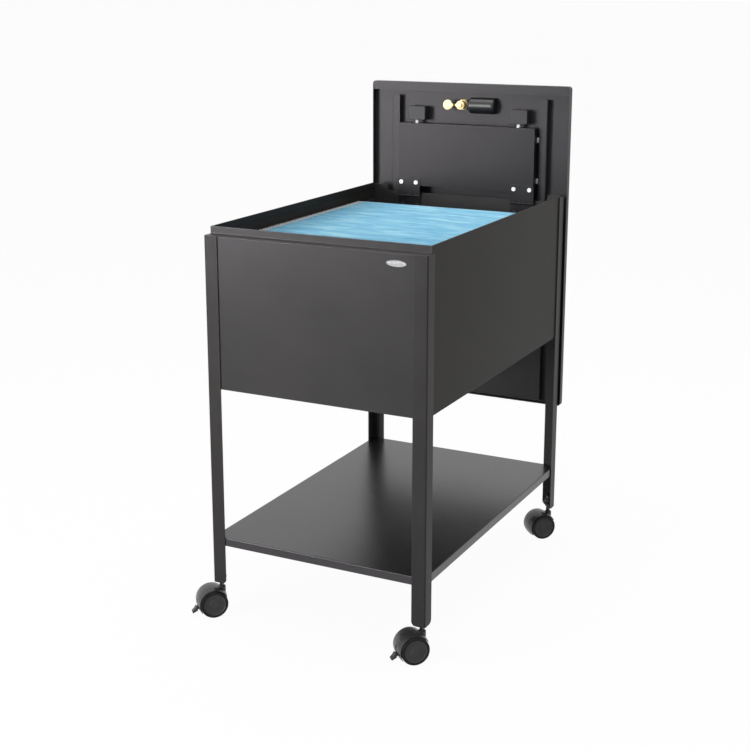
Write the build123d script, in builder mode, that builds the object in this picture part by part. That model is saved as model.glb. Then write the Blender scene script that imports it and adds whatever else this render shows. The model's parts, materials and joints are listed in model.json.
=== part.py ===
"""Hanging file cart: a steel tub on casters with a lid that flips over and slides down behind it."""

import os
from math import cos, radians, sin

from build123d import *

os.makedirs("parts", exist_ok=True)

# All sizes are millimetres; the origin is the floor point under the middle of the four legs.
# The front of the cart faces -Y, and the lid is modelled open, hanging behind the tub.

# Frame
CART_W = 419.0
CART_D = 635.0
HALF_W = CART_W / 2
HALF_D = CART_D / 2
SHEET = 1.0
BEND = 2.0

# Legs, angle section with the corner outward
LEG = 25.4
LEG_T = 2.0
LEG_BOTTOM = 61.0
LEG_TOP_FRONT = 694.0
LEG_TOP_REAR = 705.0
LEG_CORNER_R = 2.5
LEG_TOE_R = 8.0
LEG_HEAD_R = 3.0

# Tub
PANEL_X = HALF_W - LEG_T
PANEL_Y = HALF_D - LEG_T
TUB_BOTTOM = 424.0
LEDGE_Z = 694.0
LEDGE_D = 16.5
RIM_TOP = 707.0
RIM_Y = -PANEL_Y + LEDGE_D
HEM_H = 9.0
FOOT_FLANGE = 13.0
FOOT_GAP = 0.4
BACK_TOP = 692.0
BACK_NOTCH_HALF = 176.0
BACK_NOTCH_R = 8.0
FLOOR_UPTURN = 10.0

# Hanging rails
RAIL_T = 1.2
RAIL_X = 193.6
RAIL_TOP = 677.0
RAIL_SHELF_Z = 667.0
RAIL_SKIRT_Z = 640.0
RAIL_FRONT = -297.0
RAIL_BACK = 300.0

# Shelf
SHELF_TOP = 149.0
SHELF_H = 15.0
SHELF_CORNER_R = 4.0
SHELF_EDGE_R = 1.6
SCREW_R = 2.5
SCREW_HOLE_R = 2.6
SCREW_HEAD_R = 4.0
SCREW_HEAD_H = 2.4
SCREW_Z = SHELF_TOP - SHELF_H / 2
SCREW_Y = PANEL_Y - 13.0

# Lid hinge line, just inside the back panel
HINGE_Y = 311.0
HINGE_Z = 686.0
HINGE_X = 123.5

# Lid, standing open
LID_HALF_W = 213.0
LID_IN_Y = 335.0
LID_FLANGE = 13.0
LID_FRONT_Y = LID_IN_Y - LID_FLANGE
LID_OUT_Y = LID_IN_Y + SHEET
LID_TOP = 916.0
LID_LEN = 641.0
LID_BOTTOM = LID_TOP - LID_LEN
LID_CORNER_R = 6.0
LID_EDGE_R = 2.0
LID_LIP = 17.0

# Guide channels on the lid
CHANNEL_IN = 152.0
CHANNEL_OUT = 168.0
CHANNEL_D = 12.0
CHANNEL_BOTTOM = LID_BOTTOM + 6.0
CHANNEL_TOP = 889.0

# Carrier plate and glides
PLATE_HALF_W = 147.0
PLATE_Y = 309.5
PLATE_T = 1.5
PLATE_DEPTH = 21.0
PLATE_BOTTOM = 707.0
PLATE_TOP = 834.0
PLATE_CORNER_R = 3.0
GLIDE_Z = (729.0, 810.0)
GLIDE_H = 10.0
GLIDE_GAP = 0.4
GLIDE_EDGE_R = 1.5

# Stop blocks and bumpers on the lid
STOP_X = 110.0
STOP_W = 38.0
STOP_Z = (840.0, 868.0)
STOP_Y = 315.0
STOP_R = 3.0
BUMPER_R = 4.0
BUMPER_Y = 320.0
BUMPER_GAP = 0.2

# Butt hinges between the back panel and the carrier plate
KNUCKLE_R = 3.2
KNUCKLE_GAP = 0.2
KNUCKLE_CLEAR = 4.0
LEAF_T = 1.5
LEAF_HALF = 25.0
MOVING_LEAF_TOP = 722.0
FIXED_LEAF_LOW = 654.0
LEAF_R = 3.0
PIN_R = 1.6
PIN_BORE_R = 1.65
RIVET_X = 16.5
RIVET_Z = 713.5
RIVET_R = 2.4
RIVET_HEAD_R = 4.2
RIVET_HEAD_H = 1.8
FIXED_RIVET_Z = 667.0
MOVING_KNUCKLES = ((-25.0, -15.0), (-5.0, 5.0), (15.0, 25.0))
FIXED_KNUCKLES = ((-15.0, -5.0), (5.0, 15.0))

# Lock and pull
LOCK_X = -14.0
LOCK_Z = 873.0
LOCK_HEAD_R = 9.5
LOCK_HEAD_H = 3.0
LOCK_HEAD_EDGE = 0.8
BARREL_R = 8.0
BARREL_HOLE_R = 8.1
BARREL_END_Y = 317.5
LOCK_NUT_AF = 20.0
LOCK_NUT_H = 5.0
PLUG_R = 5.2
PLUG_BORE_R = 5.25
PLUG_FACE_DROP = 0.2
KEY_SLOT = (1.4, 7.0, 4.0)
CAM_T = 2.5
CAM_Y = 316.7
CAM_HUB_R = 9.0
CAM_TIP_R = 10.0
CAM_NECK = 6.0
CAM_REACH = 27.0
CAM_SCREW_R = 2.5
CAM_SCREW_HOLE_R = 2.6
CAM_SCREW_HEAD_R = 4.6
CAM_SCREW_HEAD_H = 3.0
CAM_SCREW_DEPTH = 5.0
CAM_SCREW_ROOM = 0.5
PULL_X = 29.0
PULL_Z = 872.5
PULL_L = 56.0
PULL_R = 16.0
PULL_AXIS_Y = 330.5
PULL_WALL = 1.5
PULL_END_R = 5.0
PULL_HOLE_GAP = 0.2
BEZEL_OVERLAP = 4.5
BEZEL_T = 1.5
BEZEL_R = 6.0

# Casters
STEM_INSET = 10.0
STEM_R = 4.0
STEM_BORE_R = 4.05
STEM_LOW = 44.0
STEM_TOP = 86.0
COLLAR_R = 6.5
COLLAR_H = 4.0
STEM_TIP_EDGE = 0.8
STEM_ROOM = 0.5
TAB = 22.0
TAB_T = 3.0
TAB_Z = 68.0
TAB_NOSE = 14.5
TAB_HOLE_R = 4.1
NUT_AF = 13.0
NUT_H = 6.5
CASTER_HEADING = 225.0
TRAIL = 18.0
WHEEL_R = 25.0
WHEEL_IN = 5.0
WHEEL_OUT = 22.5
TREAD_EDGE = 1.5
FACE_EDGE = 2.0
RIM_W = 5.0
DISH = 1.5
HUB_R = 8.5
HUB_RISE = 1.0
AXLE_GAP = 0.2
AXLE_R = 3.0
AXLE_BORE_R = 3.05
AXLE_HALF = 19.0
HOOD_R = 28.5
HOOD_EDGE_R = 26.8
HOOD_IN_R = 25.8
HOOD_HALF = 19.5
HOOD_START = -35.0
HOOD_SWEEP = 185.0
WEB_R = 26.5
WEB_HALF = 4.4
WEB_LOW = 9.0
BOSS_R = 7.0
BOSS_TOP = 52.0
BOSS_LOW = 40.0
BOSS_EDGE_R = 1.5

# Brake lever, in the side view of its caster with the stem at zero
LEVER_PIVOT = (34.0, 21.0)
LEVER_BOSS_R = 3.0
LEVER_HALF = 2.0
LEVER_SLOT_HALF = 2.3
LEVER_STUD_R = 1.5
LEVER_STUD_BORE_R = 1.55
LEVER_TOE_HALF = 4.6
LEVER_ROOM = 2.0
LEVER_SLOT_TOP = 32.0
LEVER_STUD_GAP = 0.2
LEVER_ARM = ((32.0, 22.5), (36.0, 23.2), (48.5, 17.0), (48.0, 10.8), (38.0, 14.0), (32.0, 18.5))
LEVER_TOE = ((47.5, 20.5), (51.6, 13.4), (56.0, 9.0), (54.8, 6.2), (45.4, 10.8))
LEVER_EDGE_R = 1.0

# Hanging folders
FOLDER_COUNT = 26
FOLDER_PITCH = 20.0
FOLDER_FIRST_Y = -280.0
FOLDER_HALF_W = 187.5
FOLDER_TOP = 673.0
FOLDER_FOLD = 446.0
FOLDER_OPEN = 5.0
FOLDER_T = 1.0
ROD_TOP = 680.0
ROD_HALF = 198.5
ROD_T = 0.8
HOOK_TIP_Z = 671.0
HOOK_SEAT_Z = 677.2
HOOK_SLOT = (191.3, 196.0)

CORNERS = {
    "front_left": (-1, -1),
    "front_right": (1, -1),
    "rear_left": (-1, 1),
    "rear_right": (1, 1),
}
SIDES = {"left": -1, "right": 1}


def save(piece, name):
    """Label a finished piece and write it out."""
    piece.part.label = name
    export_step(piece.part, f"parts/{name}.step")


def stem_xy(sx, sy):
    """Where a caster stem stands in plan."""
    return sx * (HALF_W - STEM_INSET), sy * (HALF_D - STEM_INSET)


# Legs
for corner, (sx, sy) in CORNERS.items():
    top = LEG_TOP_FRONT if sy < 0 else LEG_TOP_REAR
    with BuildPart() as leg:
        with BuildSketch(Plane.XY.offset(LEG_BOTTOM)) as section:
            with BuildLine():
                Polyline(
                    (sx * HALF_W, sy * HALF_D),
                    (sx * (HALF_W - LEG), sy * HALF_D),
                    (sx * (HALF_W - LEG), sy * PANEL_Y),
                    (sx * PANEL_X, sy * PANEL_Y),
                    (sx * PANEL_X, sy * (HALF_D - LEG)),
                    (sx * HALF_W, sy * (HALF_D - LEG)),
                    close=True,
                )
            make_face()
            outer_corner = section.vertices().sort_by_distance((sx * HALF_W, sy * HALF_D, 0))[0]
            fillet(outer_corner, LEG_CORNER_R)
        extrude(amount=top - LEG_BOTTOM)
        for end_z, end_r in ((LEG_BOTTOM, LEG_TOE_R), (top, LEG_HEAD_R)):
            across = (sx * (HALF_W - LEG), sy * (HALF_D - LEG_T / 2), end_z)
            along = (sx * (HALF_W - LEG_T / 2), sy * (HALF_D - LEG), end_z)
            across_edge = leg.edges().filter_by(Axis.Y).sort_by_distance(across)[0]
            along_edge = leg.edges().filter_by(Axis.X).sort_by_distance(along)[0]
            fillet([across_edge, along_edge], end_r)
        with Locations((sx * (HALF_W - LEG_T / 2), sy * SCREW_Y, SCREW_Z)):
            Cylinder(SCREW_HOLE_R, 2 * LEG_T, rotation=(0, 90, 0), mode=Mode.SUBTRACT)
    save(leg, f"leg_{corner}")

# Front panel with its ledge and raised rim
with BuildPart() as front_panel:
    with BuildSketch(Plane.YZ):
        with BuildLine():
            FilletPolyline(
                (-PANEL_Y + FOOT_FLANGE, TUB_BOTTOM),
                (-PANEL_Y, TUB_BOTTOM),
                (-PANEL_Y, LEDGE_Z),
                (RIM_Y, LEDGE_Z),
                (RIM_Y, RIM_TOP),
                radius=BEND,
            )
            offset(amount=SHEET, side=Side.RIGHT)
        make_face()
        with Locations((RIM_Y + 1.5 * SHEET, RIM_TOP - HEM_H / 2)):
            Rectangle(SHEET, HEM_H)
    extrude(amount=PANEL_X - SHEET, both=True)
save(front_panel, "front_panel")

# Back panel, cut down in the middle to let the lid channels pass
with BuildPart() as back_panel:
    with BuildSketch(Plane.YZ):
        with BuildLine():
            FilletPolyline(
                (PANEL_Y - FOOT_FLANGE, TUB_BOTTOM),
                (PANEL_Y, TUB_BOTTOM),
                (PANEL_Y, LEG_TOP_REAR),
                radius=BEND,
            )
            offset(amount=SHEET, side=Side.LEFT)
        make_face()
    extrude(amount=PANEL_X - SHEET, both=True)
    with BuildSketch(Plane.XZ.offset(-PANEL_Y)):
        with Locations((0, BACK_TOP + 2 * BACK_NOTCH_R)):
            RectangleRounded(2 * BACK_NOTCH_HALF, 4 * BACK_NOTCH_R, BACK_NOTCH_R)
        for s in SIDES.values():
            with Locations(
                (s * (HINGE_X - RIVET_X), FIXED_RIVET_Z),
                (s * (HINGE_X + RIVET_X), FIXED_RIVET_Z),
            ):
                Circle(RIVET_R)
    extrude(amount=2 * SHEET, both=True, mode=Mode.SUBTRACT)
save(back_panel, "back_panel")

# Side panels
for side, s in SIDES.items():
    inward = Side.LEFT if s > 0 else Side.RIGHT
    hem_y = (RIM_Y + 2 * SHEET, PANEL_Y - SHEET)
    corner_cut = FOOT_FLANGE + FOOT_GAP
    with BuildPart() as side_panel:
        with BuildSketch(Plane.XZ):
            with BuildLine():
                FilletPolyline(
                    (s * (PANEL_X - FOOT_FLANGE), TUB_BOTTOM),
                    (s * PANEL_X, TUB_BOTTOM),
                    (s * PANEL_X, RIM_TOP),
                    radius=BEND,
                )
                offset(amount=SHEET, side=inward)
            make_face()
        extrude(amount=PANEL_Y, both=True)
        hem_x = s * (PANEL_X - 1.5 * SHEET)
        with Locations((hem_x, (hem_y[0] + hem_y[1]) / 2, RIM_TOP - HEM_H / 2)):
            Box(SHEET, hem_y[1] - hem_y[0], HEM_H)
        with Locations((s * PANEL_X, -PANEL_Y, RIM_TOP)):
            Box(6 * SHEET, 2 * LEDGE_D, 2 * (RIM_TOP - LEDGE_Z), mode=Mode.SUBTRACT)
        with Locations((s * (PANEL_X - SHEET - FOOT_FLANGE / 2), 0, TUB_BOTTOM)):
            with GridLocations(1, 2 * PANEL_Y, 1, 2):
                Box(FOOT_FLANGE, 2 * corner_cut, 4 * SHEET, mode=Mode.SUBTRACT)
    save(side_panel, f"side_panel_{side}")

# Tub floor pan, resting on the inward feet of the panels
with BuildPart() as tub_floor:
    with Locations((0, 0, TUB_BOTTOM + SHEET)):
        Box(
            2 * (PANEL_X - SHEET),
            2 * (PANEL_Y - SHEET),
            FLOOR_UPTURN,
            align=(Align.CENTER, Align.CENTER, Align.MIN),
        )
    fillet(tub_floor.edges().filter_by(Axis.Z), BEND)
    fillet(tub_floor.faces().sort_by(Axis.Z)[0].edges(), BEND)
    offset(amount=-SHEET, openings=tub_floor.faces().sort_by(Axis.Z)[-1])
save(tub_floor, "tub_floor")

# Hanging rails, a stepped section on each side panel
for side, s in SIDES.items():
    inner_x = PANEL_X - SHEET
    with BuildPart() as rail:
        with BuildSketch(Plane.XZ.offset(-RAIL_BACK)):
            with BuildLine():
                Polyline(
                    (s * inner_x, RAIL_SKIRT_Z),
                    (s * inner_x, RAIL_SHELF_Z),
                    (s * (RAIL_X + RAIL_T / 2), RAIL_SHELF_Z),
                    (s * (RAIL_X + RAIL_T / 2), RAIL_TOP),
                    (s * (RAIL_X - RAIL_T / 2), RAIL_TOP),
                    (s * (RAIL_X - RAIL_T / 2), RAIL_SHELF_Z - RAIL_T),
                    (s * (inner_x - RAIL_T), RAIL_SHELF_Z - RAIL_T),
                    (s * (inner_x - RAIL_T), RAIL_SKIRT_Z),
                    close=True,
                )
            make_face()
        extrude(amount=RAIL_BACK - RAIL_FRONT)
    save(rail, f"hanging_rail_{side}")

# Shelf, a shallow pan turned upside down between the legs
with BuildPart() as shelf:
    with Locations((0, 0, SHELF_TOP - SHELF_H)):
        Box(
            2 * PANEL_X,
            2 * PANEL_Y,
            SHELF_H,
            align=(Align.CENTER, Align.CENTER, Align.MIN),
        )
    fillet(shelf.edges().filter_by(Axis.Z), SHELF_CORNER_R)
    fillet(shelf.faces().sort_by(Axis.Z)[-1].edges(), SHELF_EDGE_R)
    offset(amount=-SHEET, openings=shelf.faces().sort_by(Axis.Z)[0])
    with Locations((0, 0, SCREW_Z)):
        with GridLocations(2 * PANEL_X, 2 * SCREW_Y, 2, 2):
            Cylinder(SCREW_HOLE_R, 4 * SHEET, rotation=(0, 90, 0), mode=Mode.SUBTRACT)
save(shelf, "shelf")

# Shelf screws, heads inside the shelf edge
with BuildPart() as shelf_screws:
    for sx, sy in CORNERS.values():
        head_x = PANEL_X - SHEET
        with Locations((sx * (head_x + HALF_W) / 2, sy * SCREW_Y, SCREW_Z)):
            Cylinder(SCREW_R, HALF_W - head_x, rotation=(0, 90, 0))
        with Locations((sx * (head_x - SCREW_HEAD_H / 2), sy * SCREW_Y, SCREW_Z)):
            Cylinder(SCREW_HEAD_R, SCREW_HEAD_H, rotation=(0, 90, 0))
save(shelf_screws, "shelf_screws")

# Caster tabs inside the leg corners
with BuildPart() as caster_tabs:
    for sx, sy in CORNERS.values():
        with BuildSketch(Plane.XY.offset(TAB_Z)):
            with BuildLine():
                Polyline(
                    (sx * PANEL_X, sy * PANEL_Y),
                    (sx * (PANEL_X - TAB), sy * PANEL_Y),
                    (sx * (PANEL_X - TAB_NOSE), sy * (PANEL_Y - TAB_NOSE)),
                    (sx * PANEL_X, sy * (PANEL_Y - TAB)),
                    close=True,
                )
            make_face()
            with Locations(stem_xy(sx, sy)):
                Circle(TAB_HOLE_R, mode=Mode.SUBTRACT)
        extrude(amount=TAB_T)
save(caster_tabs, "caster_tabs")

# Caster nuts on top of the tabs
with BuildPart() as caster_nuts:
    with BuildSketch(Plane.XY.offset(TAB_Z + TAB_T)):
        for sx, sy in CORNERS.values():
            with Locations(stem_xy(sx, sy)):
                RegularPolygon(NUT_AF / 2, 6, major_radius=False)
                Circle(STEM_BORE_R, mode=Mode.SUBTRACT)
    extrude(amount=NUT_H)
save(caster_nuts, "caster_nuts")

# Casters, all swung the same way
heading = (cos(radians(CASTER_HEADING)), sin(radians(CASTER_HEADING)), 0)
across = (heading[1], -heading[0], 0)
hood_angle = radians(HOOD_START)
for corner, (sx, sy) in CORNERS.items():
    stem_x, stem_y = stem_xy(sx, sy)
    braked = sy < 0
    side_view = Plane(origin=(stem_x, stem_y, 0), x_dir=heading, z_dir=across)
    hub = side_view.from_local_coords((TRAIL, WHEEL_R, 0))
    hub = (hub.X, hub.Y, hub.Z)
    hub_section = Plane(origin=hub, x_dir=across, z_dir=(-heading[0], -heading[1], 0))
    spin_axis = Axis(hub, across)
    hood_normal = (-sin(hood_angle) * heading[0], -sin(hood_angle) * heading[1], cos(hood_angle))
    hood_section = Plane(origin=hub, x_dir=across, z_dir=hood_normal)

    with BuildPart() as stem:
        with BuildSketch(Plane.XY.offset(STEM_LOW)):
            with Locations((stem_x, stem_y)):
                Circle(STEM_R)
        extrude(amount=STEM_TOP - STEM_LOW)
        with BuildSketch(Plane.XY.offset(TAB_Z - COLLAR_H)):
            with Locations((stem_x, stem_y)):
                Circle(COLLAR_R)
        extrude(amount=COLLAR_H)
        chamfer(stem.faces().sort_by(Axis.Z)[-1].edges(), STEM_TIP_EDGE)
    save(stem, f"caster_stem_{corner}")

    with BuildPart() as hood:
        with BuildSketch(hood_section):
            with BuildLine():
                ThreePointArc((-HOOD_HALF, HOOD_EDGE_R), (0, HOOD_R), (HOOD_HALF, HOOD_EDGE_R))
                Polyline(
                    (HOOD_HALF, HOOD_EDGE_R),
                    (HOOD_HALF, HOOD_IN_R),
                    (-HOOD_HALF, HOOD_IN_R),
                    (-HOOD_HALF, HOOD_EDGE_R),
                )
            make_face()
        revolve(axis=spin_axis, revolution_arc=HOOD_SWEEP)
        with BuildSketch(side_view):
            with Locations((TRAIL, WHEEL_R)):
                Circle(WEB_R)
            with Locations((TRAIL, WEB_LOW - WEB_R)):
                Rectangle(3 * WEB_R, 2 * WEB_R, mode=Mode.SUBTRACT)
        extrude(amount=WEB_HALF, both=True)
        with BuildSketch(Plane.XY.offset(BOSS_LOW)):
            with Locations((stem_x, stem_y)):
                Circle(BOSS_R)
        extrude(amount=BOSS_TOP - BOSS_LOW)
        fillet(hood.faces().sort_by(Axis.Z)[-1].edges(), BOSS_EDGE_R)
        for face_w in (WEB_HALF, -WEB_HALF):
            with BuildSketch(side_view.offset(face_w)):
                with Locations((TRAIL, WHEEL_R)):
                    Circle(HOOD_IN_R)
            well_depth = 2 * HOOD_HALF if face_w > 0 else -2 * HOOD_HALF
            extrude(amount=well_depth, mode=Mode.SUBTRACT)
        with BuildSketch(side_view):
            with Locations((TRAIL, WHEEL_R)):
                Circle(AXLE_BORE_R)
        extrude(amount=2 * WEB_HALF, both=True, mode=Mode.SUBTRACT)
        with BuildSketch(Plane.XY.offset(STEM_LOW - STEM_ROOM)):
            with Locations((stem_x, stem_y)):
                Circle(STEM_BORE_R)
        extrude(amount=BOSS_TOP, mode=Mode.SUBTRACT)
        if braked:
            slot_u = LEVER_PIVOT[0] - LEVER_BOSS_R - LEVER_ROOM
            with BuildSketch(side_view):
                with Locations((slot_u, 0)):
                    Rectangle(WHEEL_R, LEVER_SLOT_TOP, align=(Align.MIN, Align.MIN))
            extrude(amount=LEVER_SLOT_HALF, both=True, mode=Mode.SUBTRACT)
            with BuildSketch(side_view):
                with Locations(LEVER_PIVOT):
                    Circle(LEVER_STUD_BORE_R)
            extrude(amount=2 * WEB_HALF, both=True, mode=Mode.SUBTRACT)
    save(hood, f"caster_hood_{corner}")

    with BuildPart() as axle:
        with BuildSketch(side_view):
            with Locations((TRAIL, WHEEL_R)):
                Circle(AXLE_R)
        extrude(amount=AXLE_HALF, both=True)
    save(axle, f"caster_axle_{corner}")

    for wheel_name, w in (("inner", 1), ("outer", -1)):
        with BuildPart() as wheel:
            with BuildSketch(hub_section):
                with BuildLine():
                    Polyline(
                        (w * WHEEL_IN, AXLE_R),
                        (w * WHEEL_IN, WHEEL_R - TREAD_EDGE),
                        (w * (WHEEL_IN + TREAD_EDGE), WHEEL_R),
                        (w * (WHEEL_OUT - FACE_EDGE), WHEEL_R),
                        (w * (WHEEL_OUT - 0.3 * FACE_EDGE), WHEEL_R - 0.3 * FACE_EDGE),
                        (w * WHEEL_OUT, WHEEL_R - FACE_EDGE),
                        (w * WHEEL_OUT, WHEEL_R - RIM_W),
                        (w * (WHEEL_OUT - DISH), WHEEL_R - RIM_W - DISH),
                        (w * (WHEEL_OUT - DISH), HUB_R + HUB_RISE),
                        (w * (WHEEL_OUT - DISH + HUB_RISE), HUB_R),
                        (w * (WHEEL_OUT - DISH + HUB_RISE), 0),
                        (w * (AXLE_HALF + AXLE_GAP), 0),
                        (w * (AXLE_HALF + AXLE_GAP), AXLE_R),
                        close=True,
                    )
                make_face()
            revolve(axis=spin_axis)
        save(wheel, f"caster_wheel_{wheel_name}_{corner}")

    if braked:
        with BuildPart() as lever:
            with BuildSketch(side_view):
                with Locations(LEVER_PIVOT):
                    Circle(LEVER_BOSS_R)
                with BuildLine():
                    Polyline(*LEVER_ARM, close=True)
                make_face()
            extrude(amount=LEVER_HALF, both=True)
            with BuildSketch(side_view):
                with BuildLine():
                    Polyline(*LEVER_TOE, close=True)
                toe_outline = make_face()
                fillet(toe_outline.vertices(), LEVER_EDGE_R)
            extrude(amount=LEVER_TOE_HALF, both=True)
            with BuildSketch(side_view):
                with Locations(LEVER_PIVOT):
                    Circle(LEVER_STUD_R)
            extrude(amount=WEB_HALF - LEVER_STUD_GAP, both=True)
        save(lever, f"brake_lever_{corner}")

# Lid pan with a return lip along its front edge, which is uppermost when the lid stands open
with BuildPart() as lid_panel:
    with Locations((0, LID_FRONT_Y, LID_BOTTOM)):
        Box(
            2 * LID_HALF_W,
            LID_OUT_Y - LID_FRONT_Y,
            LID_LEN,
            align=(Align.CENTER, Align.MIN, Align.MIN),
        )
    fillet(lid_panel.edges().filter_by(Axis.Y), LID_CORNER_R)
    fillet(lid_panel.faces().sort_by(Axis.Y)[-1].edges(), LID_EDGE_R)
    offset(amount=-SHEET, openings=lid_panel.faces().sort_by(Axis.Y)[0])
    with BuildSketch(Plane.XZ.offset(-LID_FRONT_Y)):
        with Locations((0, LID_TOP - LID_LEN / 2)):
            RectangleRounded(2 * LID_HALF_W, LID_LEN, LID_CORNER_R)
        with Locations((0, LID_BOTTOM - LID_LIP)):
            Rectangle(
                4 * LID_HALF_W,
                LID_LEN,
                align=(Align.CENTER, Align.MIN),
                mode=Mode.SUBTRACT,
            )
    extrude(amount=-SHEET)
    with BuildSketch(Plane.XZ.offset(-LID_OUT_Y)):
        with Locations((LOCK_X, LOCK_Z)):
            Circle(BARREL_HOLE_R)
        with Locations((PULL_X, PULL_Z)):
            Rectangle(PULL_L + 2 * PULL_HOLE_GAP, 2 * (PULL_R + PULL_HOLE_GAP))
    extrude(amount=2 * SHEET, both=True, mode=Mode.SUBTRACT)
save(lid_panel, "lid_panel")

# Guide channels, open towards the middle of the lid
for side, s in SIDES.items():
    inward = Side.RIGHT if s > 0 else Side.LEFT
    with BuildPart() as channel:
        with BuildSketch(Plane.XY.offset(CHANNEL_BOTTOM)):
            with BuildLine():
                FilletPolyline(
                    (s * CHANNEL_IN, LID_IN_Y),
                    (s * CHANNEL_OUT, LID_IN_Y),
                    (s * CHANNEL_OUT, LID_IN_Y - CHANNEL_D),
                    (s * CHANNEL_IN, LID_IN_Y - CHANNEL_D),
                    radius=BEND,
                )
                offset(amount=SHEET, side=inward)
            make_face()
        extrude(amount=CHANNEL_TOP - CHANNEL_BOTTOM)
    save(channel, f"guide_channel_{side}")

# Carrier plate, a tray open at the back and below
with BuildPart() as carrier_plate:
    with Locations((0, PLATE_Y, PLATE_BOTTOM)):
        Box(
            2 * PLATE_HALF_W,
            PLATE_DEPTH,
            PLATE_TOP - PLATE_BOTTOM,
            align=(Align.CENTER, Align.MIN, Align.MIN),
        )
    upper_corners = carrier_plate.edges().filter_by(Axis.Y).group_by(Axis.Z)[-1]
    fillet(upper_corners, PLATE_CORNER_R)
    tray_back = carrier_plate.faces().sort_by(Axis.Y)[-1]
    tray_foot = carrier_plate.faces().sort_by(Axis.Z)[0]
    offset(amount=-PLATE_T, openings=[tray_back, tray_foot])
    with BuildSketch(Plane.XZ.offset(-PLATE_Y)):
        for s in SIDES.values():
            with Locations((s * (HINGE_X - RIVET_X), RIVET_Z), (s * (HINGE_X + RIVET_X), RIVET_Z)):
                Circle(RIVET_R)
    extrude(amount=2 * PLATE_T, both=True, mode=Mode.SUBTRACT)
save(carrier_plate, "carrier_plate")

# Nylon glides on the plate flanges, running in the channels
with BuildPart() as glides:
    glide_y = (LID_IN_Y - CHANNEL_D + SHEET + GLIDE_GAP, LID_IN_Y - SHEET - GLIDE_GAP)
    glide_x = (PLATE_HALF_W, CHANNEL_OUT - SHEET - GLIDE_GAP)
    for s in SIDES.values():
        for glide_z in GLIDE_Z:
            mid_x = s * (glide_x[0] + glide_x[1]) / 2
            with Locations((mid_x, (glide_y[0] + glide_y[1]) / 2, glide_z)):
                Box(glide_x[1] - glide_x[0], glide_y[1] - glide_y[0], GLIDE_H)
    fillet(glides.edges().filter_by(Axis.X), GLIDE_EDGE_R)
save(glides, "glides")

# Hinge leaves, the moving one on the front of the plate and the fixed one on the back panel
for side, s in SIDES.items():
    mid_x = s * HINGE_X
    for leaf_name, own, other in (
        ("moving", MOVING_KNUCKLES, FIXED_KNUCKLES),
        ("fixed", FIXED_KNUCKLES, MOVING_KNUCKLES),
    ):
        moving = leaf_name == "moving"
        face_y = PLATE_Y if moving else PANEL_Y - SHEET
        leaf_z = (HINGE_Z, MOVING_LEAF_TOP) if moving else (FIXED_LEAF_LOW, HINGE_Z)
        rivet_z = RIVET_Z if moving else FIXED_RIVET_Z
        free_z = leaf_z[1] if moving else leaf_z[0]
        with BuildPart() as leaf:
            with BuildSketch(Plane.XZ.offset(-face_y)) as outline:
                with Locations((mid_x, (leaf_z[0] + leaf_z[1]) / 2)):
                    Rectangle(2 * LEAF_HALF, leaf_z[1] - leaf_z[0])
                free_corners = [
                    vertex for vertex in outline.vertices() if abs(vertex.Y - free_z) < 0.01
                ]
                fillet(free_corners, LEAF_R)
                with Locations((mid_x - RIVET_X, rivet_z), (mid_x + RIVET_X, rivet_z)):
                    Circle(RIVET_R, mode=Mode.SUBTRACT)
                for start, end in other:
                    with Locations((mid_x + (start + end) / 2, HINGE_Z)):
                        gap_w = end - start + 2 * KNUCKLE_GAP
                        Rectangle(gap_w, 2 * KNUCKLE_CLEAR, mode=Mode.SUBTRACT)
            extrude(amount=LEAF_T)
            for start, end in own:
                with BuildSketch(Plane.YZ.offset(mid_x + start + KNUCKLE_GAP)):
                    with Locations((HINGE_Y, HINGE_Z)):
                        Circle(KNUCKLE_R)
                extrude(amount=end - start - 2 * KNUCKLE_GAP)
            bore_r = PIN_BORE_R if moving else PIN_R
            with BuildSketch(Plane.YZ.offset(mid_x)):
                with Locations((HINGE_Y, HINGE_Z)):
                    Circle(bore_r)
            extrude(amount=2 * LEAF_HALF, both=True, mode=Mode.SUBTRACT)
        save(leaf, f"hinge_leaf_{leaf_name}_{side}")

# Rivets of the moving leaves, heads to the front
with BuildPart() as plate_rivets:
    for s in SIDES.values():
        for rivet_x in (s * (HINGE_X - RIVET_X), s * (HINGE_X + RIVET_X)):
            head_y = PLATE_Y - LEAF_T
            tail_y = PLATE_Y + PLATE_T
            with Locations((rivet_x, (head_y + tail_y) / 2, RIVET_Z)):
                Cylinder(RIVET_R, tail_y - head_y, rotation=(90, 0, 0))
            with Locations((rivet_x, head_y - RIVET_HEAD_H / 2, RIVET_Z)):
                Cylinder(RIVET_HEAD_R, RIVET_HEAD_H, rotation=(90, 0, 0))
save(plate_rivets, "plate_rivets")

# Rivets of the fixed leaves
with BuildPart() as back_rivets:
    for s in SIDES.values():
        for rivet_x in (s * (HINGE_X - RIVET_X), s * (HINGE_X + RIVET_X)):
            head_y = PANEL_Y - SHEET - LEAF_T
            with Locations((rivet_x, (head_y + PANEL_Y) / 2, FIXED_RIVET_Z)):
                Cylinder(RIVET_R, PANEL_Y - head_y, rotation=(90, 0, 0))
            with Locations((rivet_x, head_y - RIVET_HEAD_H / 2, FIXED_RIVET_Z)):
                Cylinder(RIVET_HEAD_R, RIVET_HEAD_H, rotation=(90, 0, 0))
save(back_rivets, "back_rivets")

# Hinge pins
with BuildPart() as hinge_pins:
    for s in SIDES.values():
        with BuildSketch(Plane.YZ.offset(s * HINGE_X)):
            with Locations((HINGE_Y, HINGE_Z)):
                Circle(PIN_R)
        extrude(amount=LEAF_HALF, both=True)
save(hinge_pins, "hinge_pins")

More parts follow.
